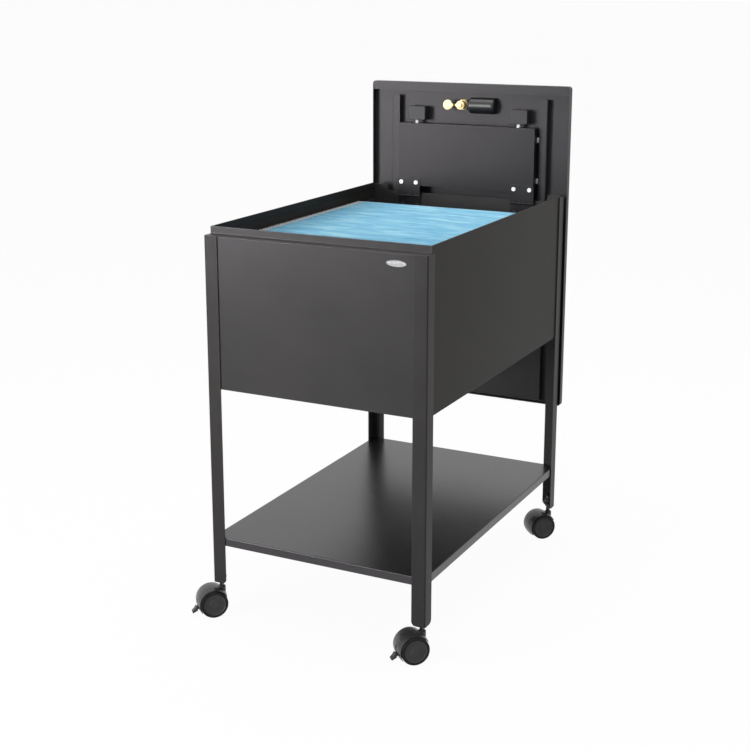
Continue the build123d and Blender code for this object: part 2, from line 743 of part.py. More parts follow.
# Stop blocks inside the lid
for side, s in SIDES.items():
    with BuildPart() as stop_block:
        with Locations((s * STOP_X, STOP_Y, STOP_Z[0])):
            Box(
                STOP_W,
                LID_IN_Y - STOP_Y,
                STOP_Z[1] - STOP_Z[0],
                align=(Align.CENTER, Align.MIN, Align.MIN),
            )
        fillet(stop_block.edges().filter_by(Axis.Y), STOP_R)
        fillet(stop_block.faces().sort_by(Axis.Y)[0].edges(), STOP_R / 2)
    save(stop_block, f"stop_block_{side}")

# Bumpers under the stop blocks, meeting the top of the carrier plate
with BuildPart() as stop_bumpers:
    with BuildSketch(Plane.XY.offset(PLATE_TOP + BUMPER_GAP)):
        with Locations((-STOP_X, BUMPER_Y), (STOP_X, BUMPER_Y)):
            Circle(BUMPER_R)
    extrude(amount=STOP_Z[0] - PLATE_TOP - BUMPER_GAP)
save(stop_bumpers, "stop_bumpers")

# Pull cup, a half-round finger pocket with a flat rim on the outside of the lid
with BuildPart() as pull_cup:
    with BuildSketch(Plane.YZ.offset(PULL_X - PULL_L / 2)):
        with Locations((PULL_AXIS_Y, PULL_Z)):
            Circle(PULL_R)
            Rectangle(LID_OUT_Y - PULL_AXIS_Y, 2 * PULL_R, align=(Align.MIN, Align.CENTER))
        with Locations((LID_OUT_Y, PULL_Z)):
            Rectangle(4 * PULL_R, 4 * PULL_R, align=(Align.MIN, Align.CENTER), mode=Mode.SUBTRACT)
    extrude(amount=PULL_L)
    fillet(pull_cup.edges().filter_by(GeomType.CIRCLE), PULL_END_R)
    offset(amount=-PULL_WALL, openings=pull_cup.faces().sort_by(Axis.Y)[-1])
    with BuildSketch(Plane.XZ.offset(-LID_OUT_Y)):
        with Locations((PULL_X, PULL_Z)):
            RectangleRounded(PULL_L + 2 * BEZEL_OVERLAP, 2 * (PULL_R + BEZEL_OVERLAP), BEZEL_R)
            RectangleRounded(
                PULL_L - 2 * PULL_WALL,
                2 * (PULL_R - PULL_WALL),
                PULL_END_R - PULL_WALL,
                mode=Mode.SUBTRACT,
            )
    extrude(amount=-BEZEL_T)
save(pull_cup, "pull_cup")

# Lock barrel
with BuildPart() as lock_barrel:
    with BuildSketch(Plane.XZ.offset(-LID_OUT_Y)):
        with Locations((LOCK_X, LOCK_Z)):
            Circle(LOCK_HEAD_R)
    extrude(amount=-LOCK_HEAD_H)
    chamfer(lock_barrel.faces().sort_by(Axis.Y)[-1].edges(), LOCK_HEAD_EDGE)
    with BuildSketch(Plane.XZ.offset(-LID_OUT_Y)):
        with Locations((LOCK_X, LOCK_Z)):
            Circle(BARREL_R)
    extrude(amount=LID_OUT_Y - BARREL_END_Y)
    with BuildSketch(Plane.XZ.offset(-LID_OUT_Y)):
        with Locations((LOCK_X, LOCK_Z)):
            Circle(PLUG_BORE_R)
    extrude(amount=2 * LID_FLANGE, both=True, mode=Mode.SUBTRACT)
save(lock_barrel, "lock_barrel")

# Lock nut against the inside of the lid
with BuildPart() as lock_nut:
    with BuildSketch(Plane.XZ.offset(-LID_IN_Y)):
        with Locations((LOCK_X, LOCK_Z)):
            RegularPolygon(LOCK_NUT_AF / 2, 6, major_radius=False)
            Circle(BARREL_R, mode=Mode.SUBTRACT)
    extrude(amount=LOCK_NUT_H)
save(lock_nut, "lock_nut")

# Lock plug with its key slot
plug_face_y = LID_OUT_Y + LOCK_HEAD_H - PLUG_FACE_DROP
with BuildPart() as lock_plug:
    with BuildSketch(Plane.XZ.offset(-CAM_Y)):
        with Locations((LOCK_X, LOCK_Z)):
            Circle(PLUG_R)
    extrude(amount=CAM_Y - plug_face_y)
    with Locations((LOCK_X, plug_face_y, LOCK_Z)):
        Box(KEY_SLOT[0], 2 * KEY_SLOT[2], KEY_SLOT[1], mode=Mode.SUBTRACT)
    with BuildSketch(Plane.XZ.offset(-CAM_Y)):
        with Locations((LOCK_X, LOCK_Z)):
            Circle(CAM_SCREW_HOLE_R)
    extrude(amount=-CAM_SCREW_DEPTH - CAM_SCREW_ROOM, mode=Mode.SUBTRACT)
save(lock_plug, "lock_plug")

# Lock cam, turned sideways while unlocked
with BuildPart() as lock_cam:
    with BuildSketch(Plane.XZ.offset(-CAM_Y)):
        with Locations((LOCK_X, LOCK_Z)):
            Circle(CAM_HUB_R)
        with Locations((LOCK_X - CAM_REACH, LOCK_Z)):
            Circle(CAM_TIP_R)
        with Locations((LOCK_X - CAM_REACH / 2, LOCK_Z)):
            Rectangle(CAM_REACH, CAM_NECK)
        with Locations((LOCK_X, LOCK_Z)):
            Circle(CAM_SCREW_HOLE_R, mode=Mode.SUBTRACT)
    extrude(amount=CAM_T)
save(lock_cam, "lock_cam")

# Cam screw
with BuildPart() as cam_screw:
    with BuildSketch(Plane.XZ.offset(-CAM_Y + CAM_T)):
        with Locations((LOCK_X, LOCK_Z)):
            Circle(CAM_SCREW_HEAD_R)
    extrude(amount=CAM_SCREW_HEAD_H)
    with BuildSketch(Plane.XZ.offset(-CAM_Y + CAM_T)):
        with Locations((LOCK_X, LOCK_Z)):
            Circle(CAM_SCREW_R)
    extrude(amount=-CAM_T - CAM_SCREW_DEPTH)
save(cam_screw, "cam_screw")

# Hanging folders, each a simple pocket
folder_ys = [FOLDER_FIRST_Y + i * FOLDER_PITCH for i in range(FOLDER_COUNT)]
with BuildPart() as folder_leaves:
    with BuildSketch(Plane.YZ):
        for folder_y in folder_ys:
            with BuildLine():
                Polyline(
                    (folder_y - FOLDER_OPEN, FOLDER_TOP),
                    (folder_y - FOLDER_OPEN + FOLDER_T, FOLDER_TOP),
                    (folder_y, FOLDER_FOLD + 4 * FOLDER_T),
                    (folder_y + FOLDER_OPEN - FOLDER_T, FOLDER_TOP),
                    (folder_y + FOLDER_OPEN, FOLDER_TOP),
                    (folder_y + FOLDER_T, FOLDER_FOLD),
                    (folder_y - FOLDER_T, FOLDER_FOLD),
                    close=True,
                )
            make_face()
    extrude(amount=FOLDER_HALF_W, both=True)
save(folder_leaves, "folder_leaves")

# Hanger rods along the top edges of the folders, hooked over the rails
with BuildPart() as folder_rods:
    for folder_y in folder_ys:
        for rod_y in (folder_y - FOLDER_OPEN, folder_y + FOLDER_OPEN - ROD_T):
            with BuildSketch(Plane.XZ.offset(-rod_y)):
                with BuildLine():
                    Polyline(
                        (-ROD_HALF, ROD_TOP),
                        (ROD_HALF, ROD_TOP),
                        (ROD_HALF, HOOK_TIP_Z),
                        (HOOK_SLOT[1], HOOK_TIP_Z),
                        (HOOK_SLOT[1], HOOK_SEAT_Z),
                        (HOOK_SLOT[0], HOOK_SEAT_Z),
                        (HOOK_SLOT[0], FOLDER_TOP),
                        (-HOOK_SLOT[0], FOLDER_TOP),
                        (-HOOK_SLOT[0], HOOK_SEAT_Z),
                        (-HOOK_SLOT[1], HOOK_SEAT_Z),
                        (-HOOK_SLOT[1], HOOK_TIP_Z),
                        (-ROD_HALF, HOOK_TIP_Z),
                        close=True,
                    )
                make_face()
            extrude(amount=-ROD_T)
save(folder_rods, "folder_rods")
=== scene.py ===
"""Looks of the hanging file cart: powder-coated steel, blue folders, casters, lock and pull."""

import json
import math

import bmesh
import bpy
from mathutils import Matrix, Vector


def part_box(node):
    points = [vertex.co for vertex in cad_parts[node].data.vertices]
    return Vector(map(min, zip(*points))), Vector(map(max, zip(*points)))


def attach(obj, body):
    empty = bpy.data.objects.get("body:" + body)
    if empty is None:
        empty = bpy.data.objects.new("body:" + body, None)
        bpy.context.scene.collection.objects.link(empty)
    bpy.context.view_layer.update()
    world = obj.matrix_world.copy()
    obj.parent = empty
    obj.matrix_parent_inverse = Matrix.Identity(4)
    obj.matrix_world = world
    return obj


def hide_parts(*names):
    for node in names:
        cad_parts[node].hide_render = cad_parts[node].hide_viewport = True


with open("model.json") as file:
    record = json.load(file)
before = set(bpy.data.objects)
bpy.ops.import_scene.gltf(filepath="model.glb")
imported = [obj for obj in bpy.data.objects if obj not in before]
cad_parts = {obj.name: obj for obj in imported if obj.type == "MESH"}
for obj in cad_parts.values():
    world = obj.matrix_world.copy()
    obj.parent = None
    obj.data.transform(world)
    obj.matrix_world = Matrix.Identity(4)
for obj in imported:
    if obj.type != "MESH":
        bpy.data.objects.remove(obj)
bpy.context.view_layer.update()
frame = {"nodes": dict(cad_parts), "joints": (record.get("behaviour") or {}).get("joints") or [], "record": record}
nodes = frame["nodes"]
scene = bpy.context.scene
scene.view_settings.view_transform = "Standard"

MM = 0.001
CORNERS = ("front_left", "front_right", "rear_left", "rear_right")
SIDES = ("left", "right")
HINGE_LEAVES = ("fixed_left", "fixed_right", "moving_left", "moving_right")

# Viewpoint of the photograph: place in metres, angles in degrees, lens and sensor in millimetres
CAMERA_AT = (1.09745, -2.25176, 1.10070)
CAMERA_YAW = 26.90
CAMERA_PITCH = 13.88
CAMERA_LENS = 66.46
CAMERA_SENSOR = 36.0
CAMERA_SHIFT = -0.06

# Finishes: noise scales are per metre, lengths in metres, tones run from dark to pale
COAT_SHEEN = (0.99, 0.94, 1.0, 1.0)
MOTTLE_SCALE = 9.0
PEEL_SCALE = 1500.0
PEEL_BUMP = 0.25
PEEL_DEPTH = 0.0002
MOTTLE_GLOSS = (-0.008, 0.012)
PEEL_GLOSS = (-0.03, 0.03)
BREAKUP_SCALE = 160.0
BREAKUP_SHARE = (0.15, 0.75)
# Paler sharp edges on the coat: partly thinner film, partly painted highlight
EDGE_MASK_RADIUS = 0.0016
EDGE_MASK_TURN = (0.995, 0.80)
PALE_EDGE_GAIN = 3.2
SHEET_TONES = ((0.040, 0.039, 0.039), (0.047, 0.045, 0.045))
# Painted shade: the sides' coat is a darker, less glossy copy of the sheet coat, standing in for the shade on
# faces turned from the light
SIDE_SHADED_TONES = ((0.038, 0.036, 0.033), (0.045, 0.042, 0.039))
# Painted shade: the shelf's coat is a near-black, glossier copy of the sheet coat, standing in for the shade under
# the tub
SHELF_SHADED_TONES = ((0.003, 0.003, 0.003), (0.006, 0.006, 0.006))
# Painted shade: the lid's coat is a darker copy of the sheet coat, standing in for the shade on its lower half
LID_SHADED_TONES = ((0.034, 0.033, 0.034), (0.040, 0.039, 0.040))
# Painted shade: the carrier plate's coat is a darker copy of the sheet coat, standing in for the shade inside the
# lid
CARRIER_SHADED_TONES = ((0.017, 0.016, 0.017), (0.022, 0.021, 0.022))
# Painted light: the legs' coat is a slightly paler, less glossy copy of the sheet coat, tuned to the light the
# legs take
LEG_LIT_TONES = ((0.042, 0.040, 0.039), (0.049, 0.047, 0.046))

FLOW_SCALE = 45.0
GRAIN_SCALE = 2600.0
GRAIN_GLOSS = 0.05
GRAIN_BUMP = 0.3
HOOD_TONES = ((0.026, 0.025, 0.026), (0.034, 0.033, 0.034))
WHEEL_TONES = ((0.072, 0.070, 0.072), (0.090, 0.088, 0.090))
PULL_TONES = ((0.010, 0.010, 0.011), (0.016, 0.016, 0.017))
# Darker outer ring of the wheels: partly a darker tread, partly painted shade on its rounded shoulder
DARK_RING_FROM = (0.0196, 0.0202)
TREAD_AND_SHADE_BLACK = (0.004, 0.004, 0.004)

CLOUD_SCALE = 220.0
LINE_SCALE = 900.0
LINE_GLOSS = (-0.06, 0.08)
LINE_BUMP = 0.12
LINE_DEPTH = 0.0001
LINES_ROUND = (1.0, 1.0, 1.0)
LINES_UPRIGHT = (1.0, 1.0, 0.05)
LINES_ACROSS = (0.05, 1.0, 1.0)
LINES_HANGER = (0.03, 1.0, 1.0)
LINES_TURNED = (1.0, 0.06, 1.0)
ZINC_TONES = ((0.62, 0.63, 0.64), (0.78, 0.79, 0.80))
# Painted shade: the caster stems are dark steel standing in for the shade inside the legs' corners
STEM_SHADE_TONES = ((0.050, 0.049, 0.049), (0.085, 0.084, 0.084))
RIVET_TONES = ((0.86, 0.86, 0.85), (0.94, 0.94, 0.93))
SILVER_TONES = ((0.27, 0.27, 0.28), (0.33, 0.33, 0.34))
HANGER_TONES = ((0.90, 0.91, 0.92), (0.95, 0.95, 0.96))
SCREW_TONES = ((0.030, 0.030, 0.031), (0.060, 0.060, 0.062))
BRASS_TONES = ((0.58, 0.46, 0.24), (0.68, 0.56, 0.33))
# Painted shade on the lock cam's neck: a brown band, fading out from the neck's middle, where the neck lies in
# shadow
NECK_MID = 0.0130
NECK_FADE = (0.0036, 0.0022)
NECK_SHADE_BROWN = (0.110, 0.075, 0.035)

NYLON_CLOUD_SCALE = 300.0
NYLON_GRAIN_SCALE = 1800.0
NYLON_GRAIN_BUMP = 0.2
NYLON_GRAIN_DEPTH = 0.0001
NYLON_ROUGH = (0.34, 0.46)
NYLON_DEPTH = (0.002, 0.002, 0.0015)
NYLON_TONES = ((0.78, 0.77, 0.73), (0.90, 0.90, 0.87))

STREAK_SCALE = 30.0
STREAK_STRETCH = (0.60, 2.4, 2.4)
STREAK_SHARE = 0.7
OWN_SHARE = 0.3
DASH_SCALE = 34.0
DASH_STRETCH = (0.38, 2.0, 2.0)
DASH_RANGE = (0.50, 0.68)
DASH_SHARE = 0.60
FIBRE_SCALE = 420.0
FIBRE_STRETCH = (0.6, 1.0, 1.0)
FIBRE_ROUGH = (0.55, 0.72)
FIBRE_BUMP = 0.18
FIBRE_DEPTH = 0.0002
CARD_TONES = ((0.140, 0.445, 0.672), (0.310, 0.640, 0.800))
PALE_DASH = (0.500, 0.810, 0.880)
HEM_END_X = (0.1836, 0.1842)
HEM_END_Z = (0.6655, 0.6662)
HEM_END_WHITE = (0.92, 0.94, 0.94)


def node(tree, kind, inputs=None, **settings):
    """Adds a node, sets its properties, and fills or links its inputs."""
    made = tree.nodes.new(kind)
    for key, value in settings.items():
        setattr(made, key, value)
    for key, value in (inputs or {}).items():
        if isinstance(value, bpy.types.NodeSocket):
            tree.links.new(value, made.inputs[key])
        else:
            made.inputs[key].default_value = value
    return made


def new_finish(name, **sockets):
    """A new material with constant sockets set; returns it, its tree, shader and object coordinates."""
    finish = bpy.data.materials.new(name)
    finish.use_nodes = True
    tree = finish.node_tree
    shader = tree.nodes["Principled BSDF"]
    for key, value in sockets.items():
        shader.inputs[key.replace("_", " ").title().replace("Ior", "IOR")].default_value = value
    place = node(tree, "ShaderNodeTexCoord").outputs["Object"]
    return finish, tree, shader, place


def noise(tree, place, scale, detail=2.0, stretch=None):
    """Noise over object coordinates; stretch scales the axes first."""
    if stretch:
        place = node(tree, "ShaderNodeMapping", {"Vector": place, "Scale": stretch}).outputs["Vector"]
    grain = node(tree, "ShaderNodeTexNoise", {"Vector": place, "Scale": scale, "Detail": detail})
    return grain.outputs["Fac"]


def spread(tree, value, low, high, start=0.3, end=0.7):
    """Carries a value from the range start to end into the range low to high."""
    ranged = node(
        tree,
        "ShaderNodeMapRange",
        {"Value": value, "From Min": start, "From Max": end, "To Min": low, "To Max": high},
    )
    return ranged.outputs["Result"]


def tint(tree, amount, first, second):
    """Mixes two colours by an amount."""
    ramp = node(tree, "ShaderNodeValToRGB", {"Fac": amount})
    ramp.color_ramp.elements[0].color = (*first, 1.0)
    ramp.color_ramp.elements[1].color = (*second, 1.0)
    return ramp.outputs["Color"]


def product(tree, first, second):
    """Multiplies two values."""
    return node(tree, "ShaderNodeMath", {0: first, 1: second}, operation="MULTIPLY").outputs["Value"]


def covered(tree, share, tone, cover):
    """Covers a tone with a flat colour by a share from zero to one."""
    mixed = node(tree, "ShaderNodeMix", {"Factor": share, 6: tone}, data_type="RGBA")
    mixed.inputs[7].default_value = (*cover, 1.0)
    return mixed.outputs[2]


def relief(tree, shader, height, strength, depth, crown=0.0):
    """Bump from a height value, linked to the shader's normal; crown rounds the edges over that radius."""
    bump = node(tree, "ShaderNodeBump", {"Height": height, "Strength": strength, "Distance": depth})
    if crown:
        rounded = node(tree, "ShaderNodeBevel", {"Radius": crown}, samples=8)
        tree.links.new(rounded.outputs["Normal"], bump.inputs["Normal"])
    tree.links.new(bump.outputs["Normal"], shader.inputs["Normal"])


def edge_wear_and_highlight(tree, radius):
    """A value that rises to one along sharp edges."""
    rounded = node(tree, "ShaderNodeBevel", {"Radius": radius}, samples=4)
    flat = node(tree, "ShaderNodeNewGeometry")
    turn = node(
        tree,
        "ShaderNodeVectorMath",
        {0: rounded.outputs["Normal"], 1: flat.outputs["Normal"]},
        operation="DOT_PRODUCT",
    )
    return spread(tree, turn.outputs["Value"], 0.0, 1.0, *EDGE_MASK_TURN)


def powder_coat(name, dark, pale, rough, ior):
    """Satin black powder coat: fine orange peel, faint mottle, and paler edges, partly thinner film and partly
    painted highlight along sharp edges.
    """
    finish, tree, shader, place = new_finish(name, ior=ior, specular_tint=COAT_SHEEN)
    mottle = noise(tree, place, MOTTLE_SCALE, detail=5.0)
    peel = noise(tree, place, PEEL_SCALE)
    breakup = spread(tree, noise(tree, place, BREAKUP_SCALE, detail=4.0), *BREAKUP_SHARE)
    # Paler edge band: partly worn thin film, partly painted highlight
    worn_and_lit = product(tree, edge_wear_and_highlight(tree, EDGE_MASK_RADIUS), breakup)
    body = tint(tree, spread(tree, mottle, 0.0, 1.0), dark, pale)
    thin_film_and_highlight = [PALE_EDGE_GAIN * channel for channel in pale]
    tree.links.new(covered(tree, worn_and_lit, body, thin_film_and_highlight), shader.inputs["Base Color"])
    cloudy = spread(tree, mottle, rough + MOTTLE_GLOSS[0], rough + MOTTLE_GLOSS[1])
    dimpled = spread(tree, peel, *PEEL_GLOSS)
    gloss = node(tree, "ShaderNodeMath", {0: cloudy, 1: dimpled}, operation="ADD")
    tree.links.new(gloss.outputs["Value"], shader.inputs["Roughness"])
    relief(tree, shader, peel, PEEL_BUMP, PEEL_DEPTH)
    return finish


def moulded_plastic(name, dark, pale, rough, grain_depth, ior=1.5, cover=None):
    """Moulded plastic, finely grained with slight flow marks; cover lays a second tone on part of it."""
    finish, tree, shader, place = new_finish(name, ior=ior)
    flow = noise(tree, place, FLOW_SCALE, detail=4.0)
    grain = noise(tree, place, GRAIN_SCALE)
    tone = tint(tree, spread(tree, flow, 0.0, 1.0), dark, pale)
    if cover:
        tone = cover(tree, place, tone)
    tree.links.new(tone, shader.inputs["Base Color"])
    gloss = spread(tree, grain, rough - GRAIN_GLOSS, rough + GRAIN_GLOSS)
    tree.links.new(gloss, shader.inputs["Roughness"])
    relief(tree, shader, grain, GRAIN_BUMP, grain_depth)
    return finish


def reach_from(tree, place, name, joint_name):
    """Distance out from a joint's axis, which runs through the middle of the named CAD node."""
    low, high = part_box(name)
    axis = next(joint["axis"] for joint in frame["joints"] if joint["name"] == joint_name)
    from_mid = node(tree, "ShaderNodeVectorMath", {0: place, 1: (low + high) / 2}, operation="SUBTRACT")
    sides = {0: from_mid.outputs["Vector"], 1: axis}
    across = node(tree, "ShaderNodeVectorMath", sides, operation="CROSS_PRODUCT")
    reach = node(tree, "ShaderNodeVectorMath", {0: across.outputs["Vector"]}, operation="LENGTH")
    return reach.outputs["Value"]


def tread_and_shade(corner):
    """The cover that darkens the tread and rim of one caster's wheels: partly a darker tread, partly painted shade
    on its rounded shoulder.
    """

    def cover(tree, place, tone):
        reach = reach_from(tree, place, "caster_axle_" + corner, "wheel_spin_" + corner)
        return covered(tree, spread(tree, reach, 0.0, 1.0, *DARK_RING_FROM), tone, TREAD_AND_SHADE_BLACK)

    return cover


def neck_painted_shade(tree, place, tone):
    """The cover that paints shade on the lock cam's neck: a brown band between its hub and its tip."""
    reach = reach_from(tree, place, "lock_plug", "lock_turn")
    past = node(tree, "ShaderNodeMath", {0: reach, 1: NECK_MID}, operation="SUBTRACT")
    off = node(tree, "ShaderNodeMath", {0: past.outputs["Value"]}, operation="ABSOLUTE")
    share = spread(tree, off.outputs["Value"], 0.0, 1.0, *NECK_FADE)
    return covered(tree, share, tone, NECK_SHADE_BROWN)


def bare_metal(name, dark, pale, rough, stretch, metallic=1.0, crown=0.0, cover=None):
    """Plated or turned metal, finely lined and clouded; cover lays a second tone on part of it."""
    finish, tree, shader, place = new_finish(name, metallic=metallic)
    cloud = noise(tree, place, CLOUD_SCALE, detail=4.0)
    lines = noise(tree, place, LINE_SCALE, detail=3.0, stretch=stretch)
    tone = tint(tree, spread(tree, cloud, 0.0, 1.0), dark, pale)
    if cover:
        tone = cover(tree, place, tone)
    tree.links.new(tone, shader.inputs["Base Color"])
    gloss = spread(tree, lines, rough + LINE_GLOSS[0], rough + LINE_GLOSS[1])
    tree.links.new(gloss, shader.inputs["Roughness"])
    relief(tree, shader, lines, LINE_BUMP, LINE_DEPTH, crown)
    return finish


def nylon(name):
    """Natural white nylon, slightly translucent."""
    finish, tree, shader, place = new_finish(name, subsurface_weight=0.15, ior=1.53)
    shader.inputs["Subsurface Radius"].default_value = NYLON_DEPTH
    cloud = noise(tree, place, NYLON_CLOUD_SCALE, detail=3.0)
    grain = noise(tree, place, NYLON_GRAIN_SCALE)
    tone = tint(tree, spread(tree, cloud, 0.0, 1.0), *NYLON_TONES)
    tree.links.new(tone, shader.inputs["Base Color"])
    tree.links.new(spread(tree, cloud, *NYLON_ROUGH), shader.inputs["Roughness"])
    relief(tree, shader, grain, NYLON_GRAIN_BUMP, NYLON_GRAIN_DEPTH)
    return finish


def hem_ends(tree, place):
    """One on the last few millimetres of each hem, where the pale hanger strip shows."""
    split = node(tree, "ShaderNodeSeparateXYZ", {"Vector": place}).outputs
    out = node(tree, "ShaderNodeMath", {0: split["X"]}, operation="ABSOLUTE").outputs["Value"]
    end = spread(tree, out, 0.0, 1.0, *HEM_END_X)
    high = spread(tree, split["Z"], 0.0, 1.0, *HEM_END_Z)
    return product(tree, end, high)


def folder_card(name):
    """Sky-blue folder card: fibres, streaks and pale dashes along the fold, and a shade for each folder."""
    finish, tree, shader, place = new_finish(name, ior=1.45)
    own = node(tree, "ShaderNodeAttribute", attribute_name="folder_shade").outputs["Fac"]
    streak = noise(tree, place, STREAK_SCALE, detail=4.0, stretch=STREAK_STRETCH)
    dash = noise(tree, place, DASH_SCALE, stretch=DASH_STRETCH)
    fibre = noise(tree, place, FIBRE_SCALE, detail=4.0, stretch=FIBRE_STRETCH)
    streak_share = spread(tree, streak, 0.0, STREAK_SHARE)
    own_share = spread(tree, own, 0.0, OWN_SHARE, 0.0, 1.0)
    blend = node(tree, "ShaderNodeMath", {0: streak_share, 1: own_share}, operation="ADD")
    tone = tint(tree, blend.outputs["Value"], *CARD_TONES)
    tone = covered(tree, spread(tree, dash, 0.0, DASH_SHARE, *DASH_RANGE), tone, PALE_DASH)
    tone = covered(tree, hem_ends(tree, place), tone, HEM_END_WHITE)
    tree.links.new(tone, shader.inputs["Base Color"])
    tree.links.new(spread(tree, fibre, *FIBRE_ROUGH), shader.inputs["Roughness"])
    relief(tree, shader, fibre, FIBRE_BUMP, FIBRE_DEPTH)
    return finish


SHEET_COAT = powder_coat("satin_black_sheet", *SHEET_TONES, rough=0.30, ior=1.27)
# Side panels: painted shade in a darker, less glossy copy of the coat
SIDE_SHADED_COAT = powder_coat("satin_black_sides_shaded", *SIDE_SHADED_TONES, rough=0.36, ior=1.13)
# Shelf: painted shade in a near-black copy of the coat
SHELF_SHADED_COAT = powder_coat("satin_black_shelf_shaded", *SHELF_SHADED_TONES, rough=0.29, ior=1.67)
# Lid: painted shade in a darker copy of the coat
LID_SHADED_COAT = powder_coat("satin_black_lid_shaded", *LID_SHADED_TONES, rough=0.34, ior=1.26)
# Carrier plate and hinge leaves: painted shade in a darker copy of the coat
CARRIER_SHADED_COAT = powder_coat("satin_black_plate_shaded", *CARRIER_SHADED_TONES, rough=0.32, ior=1.27)
# Legs: painted light in a paler copy of the coat
LEG_LIT_COAT = powder_coat("satin_black_legs_lit", *LEG_LIT_TONES, rough=0.32, ior=1.19)
HOOD_PLASTIC = moulded_plastic("black_caster_hood", *HOOD_TONES, rough=0.27, grain_depth=0.00006)
PULL_PLASTIC = moulded_plastic("black_pull", *PULL_TONES, rough=0.33, grain_depth=0.00005)
# Each caster's wheels carry a darker outer ring, partly tread and partly painted shade
WHEEL_PLASTIC = {
    corner: moulded_plastic(
        "black_wheel_" + corner,
        *WHEEL_TONES,
        rough=0.40,
        grain_depth=0.0001,
        ior=1.30,
        cover=tread_and_shade(corner),
    )
    for corner in CORNERS
}
ZINC = bare_metal("bright_zinc", *ZINC_TONES, rough=0.30, stretch=LINES_UPRIGHT)
# Caster stems: painted shade in dark steel
STEM_SHADED_STEEL = bare_metal("stem_steel_painted_shade", *STEM_SHADE_TONES, rough=0.36, stretch=LINES_UPRIGHT)
RIVET = bare_metal("white_rivet", *RIVET_TONES, rough=0.34, stretch=LINES_ROUND, metallic=0.2)
SILVER = bare_metal("silver_plate", *SILVER_TONES, rough=0.45, stretch=LINES_ACROSS, metallic=0.5)
HANGER = bare_metal("hanger_strip", *HANGER_TONES, rough=0.40, stretch=LINES_HANGER, metallic=0.05)
SCREW = bare_metal("black_screw_steel", *SCREW_TONES, rough=0.40, stretch=LINES_ROUND)
BRASS_LOOK = {"rough": 0.54, "stretch": LINES_TURNED, "crown": 0.003}
BRASS = bare_metal("lock_brass", *BRASS_TONES, **BRASS_LOOK)
# The cam's brass carries painted shade on its neck
SHADED_CAM_BRASS = bare_metal("cam_brass_shaded_neck", *BRASS_TONES, **BRASS_LOOK, cover=neck_painted_shade)
NYLON = nylon("natural_nylon")
CARD = folder_card("blue_folder_card")

SLOT_FINISH = {
    "black_steel": SHEET_COAT,
    "black_screw": SCREW,
    "zinc_steel": ZINC,
    "rivet_steel": RIVET,
    "hanger_steel": HANGER,
    "white_nylon": NYLON,
    "pull_plastic": PULL_PLASTIC,
    "caster_plastic": HOOD_PLASTIC,
    "lock_brass": BRASS,
    "blue_card": CARD,
}


def give_finish(piece, finish):
    """Puts one material on a piece, in place of what it has."""
    piece.data.materials.clear()
    piece.data.materials.append(finish)


# Nodes whose finish differs from that of their slot, or is made for each caster; the coat copies, the dark stems
# and nuts, and the cam's neck carry painted light and shade
OWN_FINISH = {
    "shelf": SHELF_SHADED_COAT,
    "carrier_plate": CARRIER_SHADED_COAT,
    "lid_panel": LID_SHADED_COAT,
    # The caster nuts take black screw steel as painted shade inside the legs' corners
    "caster_nuts": SCREW,
    "lock_cam": SHADED_CAM_BRASS,
}
# Guide channels and stop blocks take the lid's coat copy with its painted shade
OWN_FINISH |= {"guide_channel_" + side: LID_SHADED_COAT for side in SIDES}
OWN_FINISH |= {"stop_block_" + side: LID_SHADED_COAT for side in SIDES}
OWN_FINISH |= {"side_panel_" + side: SIDE_SHADED_COAT for side in SIDES}
# Hinge leaves take the plate's coat copy with its painted shade
OWN_FINISH |= {"hinge_leaf_" + leaf: CARRIER_SHADED_COAT for leaf in HINGE_LEAVES}
OWN_FINISH |= {"leg_" + corner: LEG_LIT_COAT for corner in CORNERS}
OWN_FINISH |= {"caster_stem_" + corner: STEM_SHADED_STEEL for corner in CORNERS}
OWN_FINISH |= {"caster_wheel_inner_" + corner: WHEEL_PLASTIC[corner] for corner in CORNERS}
OWN_FINISH |= {"caster_wheel_outer_" + corner: WHEEL_PLASTIC[corner] for corner in CORNERS}


def dress_cad_nodes():
    """Gives every CAD node its own finish, or that of its slot in the record."""
    for row in frame["record"]["subparts"]:
        name = row["node"]
        finish = OWN_FINISH[name] if name in OWN_FINISH else SLOT_FINISH[row["material_slot"]]
        give_finish(nodes[name], finish)


def mesh_piece(name, bm, finish):
    """Makes a piece from a bmesh whose points are already in the cart's frame."""
    bmesh.ops.recalc_face_normals(bm, faces=bm.faces)
    mesh = bpy.data.meshes.new(name)
    bm.to_mesh(mesh)
    bm.free()
    piece = bpy.data.objects.new(name, mesh)
    scene.collection.objects.link(piece)
    give_finish(piece, finish)
    return piece


# Blank oval plate on the front panel, in millimetres; each ring is a share of the half height, and
# how far it stands proud
PLATE_MID = (153.0, 677.0)
PLATE_HALF = (18.0, 5.4)
PLATE_RINGS = (
    (1.0, 0.0),
    (1.0, 0.7),
    (0.955, 1.15),
    (0.90, 1.15),
    (0.86, 0.85),
    (0.60, 1.05),
    (0.30, 1.15),
)
PLATE_POINTS = 64


